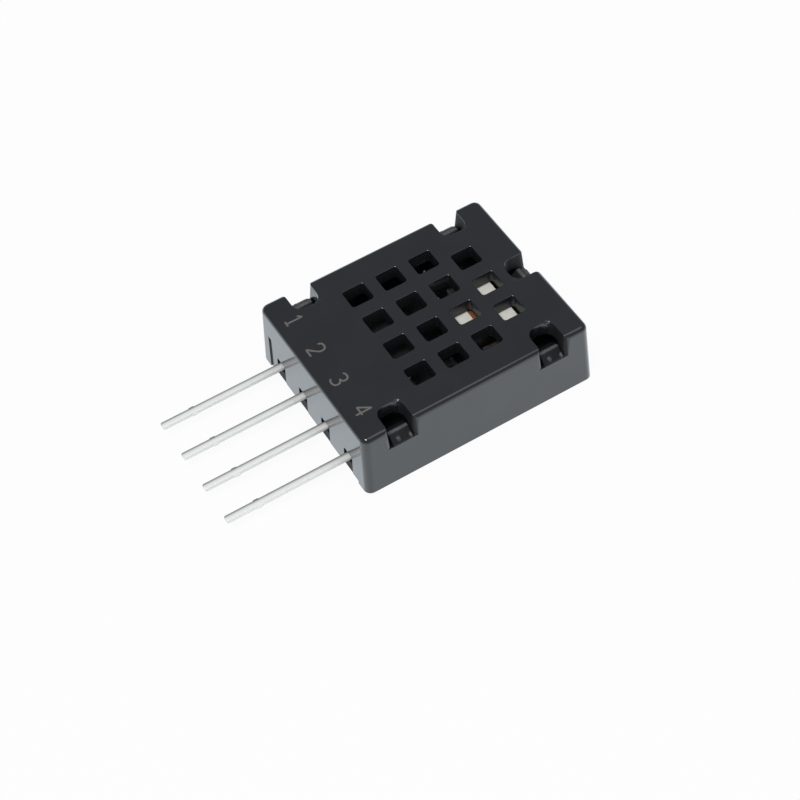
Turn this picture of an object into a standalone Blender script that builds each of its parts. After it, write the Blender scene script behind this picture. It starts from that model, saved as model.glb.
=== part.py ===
"""A temperature and humidity sensor module: a small vented housing with four flat pins.

The housing lies on its flat back. X is its width, Y its length, Z its height.
The pins leave through the wall at -Y. The origin is the centre of the back face.
"""

import math

import bmesh
import bpy
from mathutils import Vector

MM = 0.001
TINY = 0.001 * MM

# Housing, outside
BODY_WIDTH = 12.1 * MM
BODY_LENGTH = 15.1 * MM
BODY_HEIGHT = 4.5 * MM
WALL_DRAFT = math.radians(2.6)
CORNER_RADIUS = 0.45 * MM
TOP_EDGE_RADIUS = 0.3 * MM

# Housing, walls
WALL = 0.7 * MM
TOP_THICKNESS = 0.9 * MM
BACK_THICKNESS = 0.8 * MM
BACK_EDGE_CHAMFER = 0.08 * MM
COVER_GAP = 0.05 * MM

# Vents: full rows of four, then one row of three set half a pitch over.
# The side and end margins run from the outside of the housing to the middle of a vent.
VENT_WIDTH = 1.31 * MM
VENT_LENGTH = 1.42 * MM
VENT_SIDE = 2.69 * MM
VENT_END = 3.2 * MM
VENT_PITCH_Y = 2.2 * MM
VENT_ROWS = (4, 4, 4, 3)
VENT_CORNER = 0.16 * MM
VENT_RIM = 0.03 * MM

# Notches in the rim of the housing, where the clips of the back cover show
NOTCH_FROM_END = 2.6 * MM
NOTCH_WIDTH = 1.64 * MM
NOTCH_DEPTH = 1.62 * MM
NOTCH_CORNER = 0.6 * MM
NOTCH_NARROWING = 0.16 * MM
NOTCH_FLARE = 0.36 * MM
NOTCH_RIM = 0.1 * MM
LEDGE_DROP = 1.55 * MM

# Clips of the back cover
CLIP_SIDE_GAP = 0.03 * MM
CLIP_THICKNESS = 0.42 * MM
CLIP_RISE = 0.56 * MM
CLIP_NOSE_HEIGHT = 0.12 * MM
CLIP_NOSE_SLOPE = 0.46 * MM
CLIP_CREST = 0.22 * MM
CLIP_SHOULDER = 0.25 * MM
CLIP_RECESS = 0.01 * MM
CLIP_GAP = 0.02 * MM
CLIP_EDGE = 0.05 * MM

# Pin side of the housing
PANEL_SIDE = 0.75 * MM
PANEL_ABOVE = 1.2 * MM
PANEL_DEPTH = 0.08 * MM
SLOT_ROOM = 0.22 * MM
SLOT_CORNER = 0.15 * MM
SILL_RECESS = 0.03 * MM

# Pins. The side margin runs from the outside of the housing to the middle of the first pin.
PIN_COUNT = 4
PIN_SIDE = 2.24 * MM
PIN_WIDTH = 0.48 * MM
PIN_THICKNESS = 0.26 * MM
PIN_REACH = 7.65 * MM
PIN_SEAT = 1.7 * MM
PIN_Z = 1.1 * MM
PIN_EDGE = 0.09 * MM
STUB_FROM_TIP = 2.0 * MM
STUB_LENGTH = 0.34 * MM
STUB_PROUD = 0.045 * MM
STUB_THICKNESS = 0.14 * MM

# Circuit board and how it is held
BOARD_THICKNESS = 0.6 * MM
BOARD_GAP = 0.1 * MM
BOARD_CORNER = 0.4 * MM
CLIP_CLEARANCE = 0.25 * MM
SEAT_GAP = 0.02 * MM
RIB_WIDTH = 0.7 * MM
RIB_REACH = 0.55 * MM
SIDE_RIB_Y = 2.2 * MM

# Solder at the pins
SOLDER_SPREAD = 0.28 * MM
SOLDER_HEIGHT = 0.2 * MM
SOLDER_EDGE = 0.12 * MM

# Humidity sensor: a pale ceramic carrier with a film in its window
HUMIDITY_SHARE_X = 0.14
HUMIDITY_FROM_END = 1.72 * MM
HUMIDITY_WIDTH = 3.35 * MM
HUMIDITY_LENGTH = 3.75 * MM
HUMIDITY_HEADROOM = 0.1 * MM
HUMIDITY_EDGE = 0.06 * MM
WINDOW_SHIFT_Y = 0.18 * MM
WINDOW_WIDTH = 2.05 * MM
WINDOW_LENGTH = 1.2 * MM
WINDOW_DEPTH = 0.22 * MM
FILM_THICKNESS = 0.1 * MM

# Microcontroller
CHIP_SHARE_X = -0.21
CHIP_SIDE = 3.0 * MM
CHIP_HEIGHT = 0.75 * MM
CHIP_EDGE = 0.06 * MM
CHIP_MARK_RADIUS = 0.2 * MM
CHIP_MARK_DEPTH = 0.05 * MM

# Passive parts: length, width, height and length of the end caps
CAPACITOR_SIZE = (1.6 * MM, 0.8 * MM, 0.8 * MM, 0.35 * MM)
RESISTOR_SIZE = (1.6 * MM, 0.8 * MM, 0.45 * MM, 0.3 * MM)
THERMISTOR_SIZE = (1.0 * MM, 0.5 * MM, 0.5 * MM, 0.2 * MM)
CAP_PROUD = 0.02 * MM

# The first two capacitors and the thermistor keep these gaps to the humidity sensor.
# The capacitors stand this far along from its middle.
CAPACITOR_GAPS = (0.18 * MM, 0.45 * MM)
CAPACITOR_SHIFTS = (0.0, 0.6 * MM)
THERMISTOR_GAP = 0.5 * MM
THERMISTOR_SHARE_X = 0.426

# Places of the other passive parts: shares of half the width and half the length of the board,
# and the turn in degrees. Three more resistors stand in a row behind the pins.
CAPACITOR_PLACES = (
    (0.503, -0.39, 0),
    (-0.697, 0.51, 90),
)
RESISTOR_PLACE = (0.697, -0.045, 90)
ROW_SHARE_Y = -0.735

ROUND_STEPS = 5
CUT_MARGIN = 0.5 * MM
SHARP = math.radians(40)


def outer_half(size, z):
    """Half the outside size of the housing at height z."""
    return size / 2 - z * math.tan(WALL_DRAFT)


def inner_half(size, z):
    """Half the size of the hollow at height z."""
    return outer_half(size, z) - WALL


VENT_COLUMNS = max(VENT_ROWS)
VENT_PITCH_X = (BODY_WIDTH - 2 * VENT_SIDE) / (VENT_COLUMNS - 1)
VENT_LAST_Y = BODY_LENGTH / 2 - VENT_END
NOTCH_Y = BODY_LENGTH / 2 - NOTCH_FROM_END
PIN_PITCH = (BODY_WIDTH - 2 * PIN_SIDE) / (PIN_COUNT - 1)
PLATE_Z = BODY_HEIGHT - TOP_THICKNESS
LEDGE_Z = BODY_HEIGHT - LEDGE_DROP
SLOT_WIDTH = PIN_WIDTH + 2 * SLOT_ROOM
SLOT_HEIGHT = PIN_Z + PIN_THICKNESS / 2 + SLOT_ROOM
SILL_TOP = PIN_Z - PIN_THICKNESS / 2 - SLOT_ROOM
CLIP_WIDTH = NOTCH_WIDTH - 2 * NOTCH_NARROWING - 2 * CLIP_SIDE_GAP
PANEL_HEIGHT = SLOT_HEIGHT + PANEL_ABOVE
PANEL_WIDTH = (PIN_COUNT - 1) * PIN_PITCH + SLOT_WIDTH + 2 * PANEL_SIDE
BOARD_Z = PIN_Z + PIN_THICKNESS / 2 + SEAT_GAP
BOARD_TOP = BOARD_Z + BOARD_THICKNESS
SEAT_Z = BOARD_TOP + SEAT_GAP
BOARD_HALF_X = inner_half(BODY_WIDTH, BOARD_TOP) - BOARD_GAP
BOARD_HALF_Y = inner_half(BODY_LENGTH, BOARD_TOP) - BOARD_GAP
PIN_TIP_Y = -BODY_LENGTH / 2 - PIN_REACH
PIN_END_Y = -BOARD_HALF_Y + PIN_SEAT
HUMIDITY_TOP = PLATE_Z - HUMIDITY_HEADROOM
HUMIDITY_X = HUMIDITY_SHARE_X * BOARD_HALF_X
HUMIDITY_Y = BOARD_HALF_Y - HUMIDITY_FROM_END - HUMIDITY_LENGTH / 2
ROW_Y = ROW_SHARE_Y * BOARD_HALF_Y
ROW_TOP_Y = ROW_Y + RESISTOR_SIZE[0] / 2
CHIP_X = CHIP_SHARE_X * BOARD_HALF_X
CHIP_Y = (HUMIDITY_Y - HUMIDITY_LENGTH / 2 + ROW_TOP_Y) / 2

# The clips: the housing size across the wall, the place along the wall, and the turn
CLIP_PLACES = (
    (BODY_WIDTH, NOTCH_Y, 0.0),
    (BODY_WIDTH, -NOTCH_Y, 0.0),
    (BODY_WIDTH, NOTCH_Y, math.pi),
    (BODY_WIDTH, -NOTCH_Y, math.pi),
    (BODY_LENGTH, 0.0, math.pi / 2),
)


def clear_scene():
    for obj in list(bpy.data.objects):
        bpy.data.objects.remove(obj)


def new_group(name, hidden=False):
    group = bpy.data.collections.new(name)
    bpy.context.scene.collection.children.link(group)
    group.hide_render = hidden
    return group


clear_scene()
PARTS = new_group("sensor_module")
CUTTERS = new_group("cutters", hidden=True)


def material(name, colour, roughness, metallic=0.0):
    made = bpy.data.materials.new(name)
    made.use_nodes = True
    shader = made.node_tree.nodes["Principled BSDF"]
    shader.inputs["Base Color"].default_value = (*colour, 1)
    shader.inputs["Roughness"].default_value = roughness
    shader.inputs["Metallic"].default_value = metallic
    return made


BLACK_PLASTIC = material("black_plastic", (0.018, 0.019, 0.021), 0.3)
BACK_PLASTIC = material("back_plastic", (0.022, 0.023, 0.025), 0.4)
SOLDER_MASK = material("solder_mask", (0.008, 0.03, 0.02), 0.35)
TINNED_METAL = material("tinned_metal", (0.78, 0.79, 0.78), 0.25, 1.0)
SOLDER = material("solder", (0.62, 0.63, 0.64), 0.35, 1.0)
CERAMIC = material("white_ceramic", (0.86, 0.85, 0.78), 0.5)
FILM = material("sensing_film", (0.3, 0.12, 0.05), 0.4)
CHIP_RESIN = material("chip_resin", (0.015, 0.015, 0.016), 0.55)
CAPACITOR_BODY = material("capacitor_ceramic", (0.36, 0.25, 0.16), 0.45)
RESISTOR_BODY = material("resistor_glass", (0.02, 0.02, 0.022), 0.3)
THERMISTOR_BODY = material("thermistor_ceramic", (0.06, 0.05, 0.05), 0.45)


def object_from(bm, name, group, look=None):
    mesh = bpy.data.meshes.new(name)
    bm.to_mesh(mesh)
    bm.free()
    if look:
        mesh.materials.append(look)
    obj = bpy.data.objects.new(name, mesh)
    group.objects.link(obj)
    if group is CUTTERS:
        obj.hide_render = True
        obj.display_type = "WIRE"
    return obj


def box(low, high):
    """A bmesh box between two corners."""
    bm = bmesh.new()
    bmesh.ops.create_cube(bm, size=1)
    for vert in bm.verts:
        vert.co = [(a + b) / 2 + c * (b - a) for a, b, c in zip(low, high, vert.co)]
    return bm


def upright(bm):
    """The edges that climb."""
    return [e for e in bm.edges if abs(e.verts[0].co.z - e.verts[1].co.z) > TINY]


def edges_at(bm, z):
    return [e for e in bm.edges if all(abs(v.co.z - z) < TINY for v in e.verts)]


def round_edges(bm, edges, radius, steps=ROUND_STEPS):
    bmesh.ops.bevel(
        bm,
        geom=edges,
        offset=radius,
        offset_type="OFFSET",
        segments=steps,
        profile=0.5,
        affect="EDGES",
        clamp_overlap=True,
    )


def drafted_block(width, length, z_low, z_high, inset, radius):
    """A block whose sides lean in with the draft of the housing. width and length hold at z = 0."""
    bm = box((-1, -1, z_low), (1, 1, z_high))
    for vert in bm.verts:
        vert.co.x *= outer_half(width, vert.co.z) - inset
        vert.co.y *= outer_half(length, vert.co.z) - inset
    round_edges(bm, upright(bm), radius)
    return bm


def boolean(target, other, operation="DIFFERENCE"):
    modifier = target.modifiers.new(other.name, "BOOLEAN")
    modifier.operation = operation
    modifier.object = other


def bake(obj):
    """Replaces the mesh by what its modifiers make of it."""
    graph = bpy.context.evaluated_depsgraph_get()
    mesh = bpy.data.meshes.new_from_object(obj.evaluated_get(graph))
    obj.modifiers.clear()
    obj.data = mesh


def soften(obj, radius, steps, z_from):
    """Rounds the sharp outward edges that lie higher than z_from."""
    bake(obj)
    bm = bmesh.new()
    bm.from_mesh(obj.data)
    bmesh.ops.dissolve_limit(bm, angle_limit=TINY, verts=bm.verts, edges=bm.edges)
    sharp = [
        e
        for e in bm.edges
        if len(e.link_faces) == 2
        and e.is_convex
        and e.calc_face_angle() > SHARP
        and min(v.co.z for v in e.verts) > z_from
    ]
    round_edges(bm, sharp, radius, steps)
    bm.to_mesh(obj.data)
    bm.free()


def shade(obj):
    obj.data.shade_smooth()
    obj.data.set_sharp_from_angle(angle=math.radians(35))


def vent_places():
    for row, count in enumerate(reversed(VENT_ROWS)):
        for column in range(count):
            yield (column - (count - 1) / 2) * VENT_PITCH_X, VENT_LAST_Y - row * VENT_PITCH_Y


def vent_cutter():
    """One mesh with all the vents in it."""
    whole = bmesh.new()
    for x, y in vent_places():
        low = (x - VENT_WIDTH / 2, y - VENT_LENGTH / 2, PLATE_Z - CUT_MARGIN)
        high = (x + VENT_WIDTH / 2, y + VENT_LENGTH / 2, BODY_HEIGHT + CUT_MARGIN)
        one = bpy.data.meshes.new("vent")
        made = box(low, high)
        round_edges(made, upright(made), VENT_CORNER, 3)
        made.to_mesh(one)
        made.free()
        whole.from_mesh(one)
        bpy.data.meshes.remove(one)
    return object_from(whole, "vents", CUTTERS)


def arc(centre, radius, start, end, steps):
    """Points on an arc. The angles are in degrees."""
    turns = [math.radians(start + (end - start) * i / steps) for i in range(steps + 1)]
    return [(centre[0] + radius * math.cos(a), centre[1] + radius * math.sin(a)) for a in turns]


def notch_outline(size):
    """The notch from above, just over the ledge.

    Its inner corners are rounded, and its sides flare out at the wall.
    """
    wall = outer_half(size, LEDGE_Z)
    inner = wall - NOTCH_DEPTH
    half = NOTCH_WIDTH / 2 - NOTCH_NARROWING
    corner = arc((inner + NOTCH_CORNER, half - NOTCH_CORNER), NOTCH_CORNER, 180, 90, ROUND_STEPS + 1)
    flare = arc((wall - NOTCH_FLARE, half + NOTCH_FLARE), NOTCH_FLARE, -90, -10, ROUND_STEPS)
    outside = size / 2 + CUT_MARGIN
    one_side = corner + flare + [(outside, half + NOTCH_FLARE)]
    return one_side + [(x, -y) for x, y in reversed(one_side)]


def notch_cutter(size, place, turn):
    """A notch, open outwards, that leans with the wall and narrows downwards to the ledge."""
    height = LEDGE_DROP + CUT_MARGIN
    bm = flat_shape(notch_outline(size), height)
    for vert in bm.verts:
        if vert.co.z > 0:
            vert.co.x -= height * math.tan(WALL_DRAFT)
            vert.co.y += math.copysign(NOTCH_NARROWING * height / LEDGE_DROP, vert.co.y)
        vert.co.z += LEDGE_Z + height / 2
    return set_at_wall(object_from(bm, "notch", CUTTERS), place, turn)


def set_at_wall(obj, place, turn):
    """Turns a shape made at the +X wall to its own wall and slides it along to its place."""
    obj.location = (place * abs(math.sin(turn)), place * abs(math.cos(turn)), 0)
    obj.rotation_euler = (0, 0, turn)
    return obj


def panel_cutter():
    """The shallow recess around the pins. Its face leans with the wall."""
    outside = -BODY_LENGTH / 2 - CUT_MARGIN
    bm = box((-PANEL_WIDTH / 2, outside, -CUT_MARGIN), (PANEL_WIDTH / 2, 0, PANEL_HEIGHT))
    for vert in bm.verts:
        if vert.co.y > outside + TINY:
            vert.co.y = PANEL_DEPTH - outer_half(BODY_LENGTH, vert.co.z)
    return object_from(bm, "panel", CUTTERS)


def pin_places():
    return [(i - (PIN_COUNT - 1) / 2) * PIN_PITCH for i in range(PIN_COUNT)]


def slot_cutter(x):
    low = (x - SLOT_WIDTH / 2, -BODY_LENGTH / 2 - CUT_MARGIN, -CUT_MARGIN)
    high = (x + SLOT_WIDTH / 2, -inner_half(BODY_LENGTH, SLOT_HEIGHT) + CUT_MARGIN, SLOT_HEIGHT)
    bm = box(low, high)
    top_sides = [e for e in edges_at(bm, SLOT_HEIGHT) if abs(e.verts[0].co.x - e.verts[1].co.x) < TINY]
    round_edges(bm, top_sides, SLOT_CORNER)
    return object_from(bm, "pin_slot", CUTTERS)


def rib_places():
    """Wall size, place along the wall and turn of each pair of rib and support."""
    for turn in (0.0, math.pi):
        for y in (-SIDE_RIB_Y, SIDE_RIB_Y):
            yield BODY_WIDTH, y, turn
    for turn in (math.pi / 2, -math.pi / 2):
        for x in (-PIN_PITCH, PIN_PITCH):
            yield BODY_LENGTH, x, turn


def rib(name, size, place, turn, z_low, z_high, outer):
    """An upright block at a wall, over the edge of the board."""
    inner = inner_half(size, BOARD_TOP) - RIB_REACH
    bm = box((inner, -RIB_WIDTH / 2, z_low), (outer, RIB_WIDTH / 2, z_high))
    return set_at_wall(object_from(bm, name, CUTTERS), place, turn)


def make_front_cover():
    bm = drafted_block(BODY_WIDTH, BODY_LENGTH, 0, BODY_HEIGHT, 0, CORNER_RADIUS)
    round_edges(bm, edges_at(bm, BODY_HEIGHT), TOP_EDGE_RADIUS)
    cover = object_from(bm, "front_cover", PARTS, BLACK_PLASTIC)
    boolean(cover, vent_cutter())
    soften(cover, VENT_RIM, 2, LEDGE_Z)
    for place in CLIP_PLACES:
        boolean(cover, notch_cutter(*place))
    soften(cover, NOTCH_RIM, 3, LEDGE_Z + TINY)
    hollow = drafted_block(BODY_WIDTH, BODY_LENGTH, -CUT_MARGIN, PLATE_Z, WALL, CORNER_RADIUS)
    boolean(cover, object_from(hollow, "hollow", CUTTERS))
    boolean(cover, panel_cutter())
    for x in pin_places():
        boolean(cover, slot_cutter(x))
    for size, place, turn in rib_places():
        outer = inner_half(size, BOARD_TOP) + WALL / 2
        press = rib("press_rib", size, place, turn, SEAT_Z, PLATE_Z + TOP_THICKNESS / 2, outer)
        boolean(cover, press, "UNION")
    bake(cover)
    shade(cover)


def clip_shape(size, place, turn):
    """A clip: a stem inside the wall, and a nose over the ledge that slopes down to the outside."""
    stem_out = inner_half(size, LEDGE_Z) - CLIP_GAP
    stem_in = stem_out - CLIP_THICKNESS
    nose_low = LEDGE_Z + CLIP_GAP
    nose_out = outer_half(size, LEDGE_Z) - CLIP_RECESS
    top = LEDGE_Z + CLIP_RISE
    crest = nose_out - CLIP_NOSE_SLOPE
    outline = [
        (stem_in, BACK_THICKNESS / 2),
        (stem_out, BACK_THICKNESS / 2),
        (stem_out, nose_low),
        (nose_out, nose_low),
        (nose_out, nose_low + CLIP_NOSE_HEIGHT),
        (crest, top),
        (crest - CLIP_CREST, top),
        (stem_in, top - CLIP_SHOULDER),
    ]
    bm = flat_shape(outline, CLIP_WIDTH)
    for vert in bm.verts:
        vert.co = Vector((vert.co.x, -vert.co.z, vert.co.y))
    nose = [e for e in bm.edges if min(v.co.z for v in e.verts) > nose_low + TINY]
    round_edges(bm, [e for e in nose if e.calc_face_angle() > math.radians(20)], CLIP_EDGE, 2)
    return set_at_wall(object_from(bm, "clip", CUTTERS), place, turn)


def flat_shape(outline, thickness):
    """A bmesh plate with its outline in X and Y and half its thickness on each side of z = 0."""
    curve = bpy.data.curves.new("outline", "CURVE")
    curve.dimensions = "2D"
    curve.fill_mode = "BOTH"
    curve.extrude = thickness / 2
    spline = curve.splines.new("POLY")
    spline.points.add(len(outline) - 1)
    for point, (x, y) in zip(spline.points, outline):
        point.co = (x, y, 0, 1)
    spline.use_cyclic_u = True
    obj = bpy.data.objects.new("outline", curve)
    bpy.context.scene.collection.objects.link(obj)
    graph = bpy.context.evaluated_depsgraph_get()
    mesh = bpy.data.meshes.new_from_object(obj.evaluated_get(graph))
    bpy.data.objects.remove(obj)
    bpy.data.curves.remove(curve)
    bm = bmesh.new()
    bm.from_mesh(mesh)
    bpy.data.meshes.remove(mesh)
    bmesh.ops.remove_doubles(bm, verts=bm.verts, dist=TINY)
    bmesh.ops.recalc_face_normals(bm, faces=bm.faces)
    return bm


def pin_sill(x):
    """A tab that closes a pin slot from below. Its face leans with the wall."""
    half = SLOT_WIDTH / 2 - COVER_GAP
    inside = COVER_GAP + CUT_MARGIN - inner_half(BODY_LENGTH, BACK_THICKNESS)
    bm = box((x - half, -BODY_LENGTH, 0), (x + half, inside, SILL_TOP))
    for vert in bm.verts:
        if vert.co.y < inside - TINY:
            vert.co.y = PANEL_DEPTH + SILL_RECESS - outer_half(BODY_LENGTH, vert.co.z)
    return object_from(bm, "pin_sill", CUTTERS)


def make_back_cover():
    half_x = inner_half(BODY_WIDTH, BACK_THICKNESS) - COVER_GAP
    half_y = inner_half(BODY_LENGTH, BACK_THICKNESS) - COVER_GAP
    bm = box((-half_x, -half_y, 0), (half_x, half_y, BACK_THICKNESS))
    round_edges(bm, upright(bm), CORNER_RADIUS)
    round_edges(bm, edges_at(bm, 0), BACK_EDGE_CHAMFER, 1)
    cover = object_from(bm, "back_cover", PARTS, BACK_PLASTIC)
    for place in CLIP_PLACES:
        boolean(cover, clip_shape(*place), "UNION")
    for size, place, turn in rib_places():
        outer = inner_half(size, BACK_THICKNESS) - COVER_GAP - BOARD_GAP
        support = rib("support", size, place, turn, BACK_THICKNESS / 2, BOARD_Z - SEAT_GAP, outer)
        boolean(cover, support, "UNION")
    for x in pin_places():
        boolean(cover, pin_sill(x), "UNION")
    bake(cover)


def board_notch(size, place, turn):
    """Room in the edge of the board for a clip."""
    inner = inner_half(size, LEDGE_Z) - CLIP_GAP - CLIP_THICKNESS - CLIP_CLEARANCE
    half = CLIP_WIDTH / 2 + CLIP_CLEARANCE
    bm = box((inner, -half, BOARD_Z - CUT_MARGIN), (size / 2, half, BOARD_TOP + CUT_MARGIN))
    corners = [e for e in upright(bm) if e.verts[0].co.x < inner + TINY]
    round_edges(bm, corners, BOARD_CORNER)
    return set_at_wall(object_from(bm, "board_notch", CUTTERS), place, turn)


def make_board():
    bm = box((-BOARD_HALF_X, -BOARD_HALF_Y, BOARD_Z), (BOARD_HALF_X, BOARD_HALF_Y, BOARD_TOP))
    round_edges(bm, upright(bm), BOARD_CORNER)
    board = object_from(bm, "circuit_board", PARTS, SOLDER_MASK)
    for place in CLIP_PLACES:
        boolean(board, board_notch(*place))
    bake(board)


def tie_bar_stub(x):
    """What the tie bar left on both sides of a pin, near its tip."""
    half = PIN_WIDTH / 2 + STUB_PROUD
    middle = PIN_TIP_Y + STUB_FROM_TIP
    low = (x - half, middle - STUB_LENGTH / 2, PIN_Z - STUB_THICKNESS / 2)
    high = (x + half, middle + STUB_LENGTH / 2, PIN_Z + STUB_THICKNESS / 2)
    bm = box(low, high)
    round_edges(bm, upright(bm), STUB_PROUD, 2)
    return object_from(bm, "tie_bar_stub", CUTTERS)


def make_pin(number, x):
    low = (x - PIN_WIDTH / 2, PIN_TIP_Y, PIN_Z - PIN_THICKNESS / 2)
    high = (x + PIN_WIDTH / 2, PIN_END_Y, PIN_Z + PIN_THICKNESS / 2)
    bm = box(low, high)
    round_edges(bm, bm.edges[:], PIN_EDGE, 3)
    pin = object_from(bm, f"pin_{number}", PARTS, TINNED_METAL)
    boolean(pin, tie_bar_stub(x), "UNION")
    bake(pin)


def make_solder_joint(number, x):
    """Solder under the board, around the end of the pin."""
    half = PIN_WIDTH / 2 + SEAT_GAP + SOLDER_SPREAD
    top = BOARD_Z - SEAT_GAP
    low = (x - half, -BOARD_HALF_Y + SOLDER_SPREAD, top - SOLDER_HEIGHT)
    high = (x + half, PIN_END_Y + SEAT_GAP + SOLDER_SPREAD, top)
    bm = box(low, high)
    round_edges(bm, edges_at(bm, top - SOLDER_HEIGHT), SOLDER_EDGE, 3)
    joint = object_from(bm, f"solder_joint_{number}", PARTS, SOLDER)
    groove = PIN_WIDTH / 2 + SEAT_GAP
    cutter = box(
        (x - groove, low[1] - CUT_MARGIN, low[2] - CUT_MARGIN),
        (x + groove, PIN_END_Y + SEAT_GAP, top + CUT_MARGIN),
    )
    boolean(joint, object_from(cutter, "pin_groove", CUTTERS))
    bake(joint)


def box_at(x, y, width, length, z, height):
    return box((x - width / 2, y - length / 2, z), (x + width / 2, y + length / 2, z + height))


def make_humidity_sensor():
    height = HUMIDITY_TOP - SEAT_Z
    bm = box_at(HUMIDITY_X, HUMIDITY_Y, HUMIDITY_WIDTH, HUMIDITY_LENGTH, SEAT_Z, height)
    round_edges(bm, edges_at(bm, HUMIDITY_TOP) + upright(bm), HUMIDITY_EDGE, 2)
    carrier = object_from(bm, "humidity_sensor", PARTS, CERAMIC)
    floor = HUMIDITY_TOP - WINDOW_DEPTH
    y = HUMIDITY_Y + WINDOW_SHIFT_Y
    window = box_at(HUMIDITY_X, y, WINDOW_WIDTH, WINDOW_LENGTH, floor, WINDOW_DEPTH + CUT_MARGIN)
    boolean(carrier, object_from(window, "sensor_window", CUTTERS))
    bake(carrier)
    film = box_at(
        HUMIDITY_X,
        y,
        WINDOW_WIDTH - 2 * SEAT_GAP,
        WINDOW_LENGTH - 2 * SEAT_GAP,
        floor + SEAT_GAP,
        FILM_THICKNESS,
    )
    round_edges(film, edges_at(film, floor + SEAT_GAP + FILM_THICKNESS), FILM_THICKNESS / 3, 2)
    object_from(film, "sensing_film", PARTS, FILM)


def make_microcontroller():
    bm = box_at(CHIP_X, CHIP_Y, CHIP_SIDE, CHIP_SIDE, SEAT_Z, CHIP_HEIGHT)
    top = SEAT_Z + CHIP_HEIGHT
    round_edges(bm, edges_at(bm, top) + upright(bm), CHIP_EDGE, 2)
    chip = object_from(bm, "microcontroller", PARTS, CHIP_RESIN)
    dot = bmesh.new()
    bmesh.ops.create_cone(
        dot,
        cap_ends=True,
        segments=20,
        radius1=CHIP_MARK_RADIUS,
        radius2=CHIP_MARK_RADIUS,
        depth=2 * CHIP_MARK_DEPTH,
    )
    offset = CHIP_SIDE / 2 - 2 * CHIP_MARK_RADIUS
    place = Vector((CHIP_X - offset, CHIP_Y + offset, top))
    bmesh.ops.translate(dot, verts=dot.verts, vec=place)
    boolean(chip, object_from(dot, "first_pin_mark", CUTTERS))
    bake(chip)


def make_passive(name, size, place, look):
    """A chip part: a ceramic body between two metal end caps that stand a little proud."""
    length, width, height, cap = size
    x, y, turn = place
    half = length / 2
    waist = half - cap - CAP_PROUD
    bm = box((-half, -width / 2, 0), (half, width / 2, height))
    for cut in (cap - half, half - cap, -waist, waist):
        whole = bm.verts[:] + bm.edges[:] + bm.faces[:]
        bmesh.ops.bisect_plane(bm, geom=whole, plane_co=(cut, 0, 0), plane_no=(1, 0, 0))
    for vert in bm.verts:
        if abs(vert.co.x) < waist + TINY:
            vert.co.y *= 1 - 2 * CAP_PROUD / width
            vert.co.z += CAP_PROUD * (1 - 2 * vert.co.z / height)
    ends = [e for e in bm.edges if min(abs(v.co.x) for v in e.verts) > half - TINY]
    round_edges(bm, ends, 2 * CAP_PROUD, 2)
    part = object_from(bm, name, PARTS, look)
    part.location = (x, y, SEAT_Z)
    part.rotation_euler = (0, 0, math.radians(turn))


def on_board(place):
    share_x, share_y, turn = place
    return share_x * BOARD_HALF_X, share_y * BOARD_HALF_Y, turn


def beside_humidity_sensor():
    """The places of the capacitors on its right and on its left."""
    for side, gap, shift in zip((1, -1), CAPACITOR_GAPS, CAPACITOR_SHIFTS):
        x = HUMIDITY_X + side * (HUMIDITY_WIDTH / 2 + gap + CAPACITOR_SIZE[1] / 2)
        yield x, HUMIDITY_Y + shift, 90


def make_passives():
    places = [*beside_humidity_sensor(), *map(on_board, CAPACITOR_PLACES)]
    for number, place in enumerate(places, 1):
        make_passive(f"capacitor_{number}", CAPACITOR_SIZE, place, CAPACITOR_BODY)
    row = [(x, ROW_Y, 90) for x in (-PIN_PITCH, 0, PIN_PITCH)]
    for number, place in enumerate(row + [on_board(RESISTOR_PLACE)], 1):
        make_passive(f"resistor_{number}", RESISTOR_SIZE, place, RESISTOR_BODY)
    thermistor_y = HUMIDITY_Y - HUMIDITY_LENGTH / 2 - THERMISTOR_GAP - THERMISTOR_SIZE[0] / 2
    place = (THERMISTOR_SHARE_X * BOARD_HALF_X, thermistor_y, 90)
    make_passive("temperature_sensor", THERMISTOR_SIZE, place, THERMISTOR_BODY)


make_front_cover()
make_back_cover()
make_board()
for pin_number, pin_x in enumerate(pin_places(), 1):
    make_pin(pin_number, pin_x)
    make_solder_joint(pin_number, pin_x)
make_humidity_sensor()
make_microcontroller()
make_passives()
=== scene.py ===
import math

import bpy
import numpy as np
from mathutils import Matrix, Vector


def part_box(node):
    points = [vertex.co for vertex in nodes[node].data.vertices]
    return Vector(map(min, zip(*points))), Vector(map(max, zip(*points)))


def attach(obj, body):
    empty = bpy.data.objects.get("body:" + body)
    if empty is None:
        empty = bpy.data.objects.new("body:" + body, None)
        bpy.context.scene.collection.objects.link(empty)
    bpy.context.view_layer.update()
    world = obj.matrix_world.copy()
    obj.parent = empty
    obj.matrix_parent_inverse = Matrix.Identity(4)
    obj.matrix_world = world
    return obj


# Temperature and humidity sensor module: finishes, small details, floor, lamps and camera.
# X is the width, Y the length away from the pins, Z the height. All lengths are in metres.

mm = 0.001

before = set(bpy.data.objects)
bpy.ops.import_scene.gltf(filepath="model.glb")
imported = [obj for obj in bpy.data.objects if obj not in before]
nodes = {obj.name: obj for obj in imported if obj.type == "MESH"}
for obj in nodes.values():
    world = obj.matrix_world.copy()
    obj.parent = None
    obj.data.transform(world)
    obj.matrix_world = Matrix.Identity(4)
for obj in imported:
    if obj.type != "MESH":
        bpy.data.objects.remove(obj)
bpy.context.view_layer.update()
bpy.context.scene.view_settings.view_transform = "Standard"
print("frame loaded with", len(nodes), "parts")


def numbered(name, count):
    return [f"{name}_{i}" for i in range(1, count + 1)]


def addObject(name, data):
    made = bpy.data.objects.new(name, data)
    bpy.context.scene.collection.objects.link(made)
    return made


# Shader maths. A signal is a number that changes over the surface.


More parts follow.
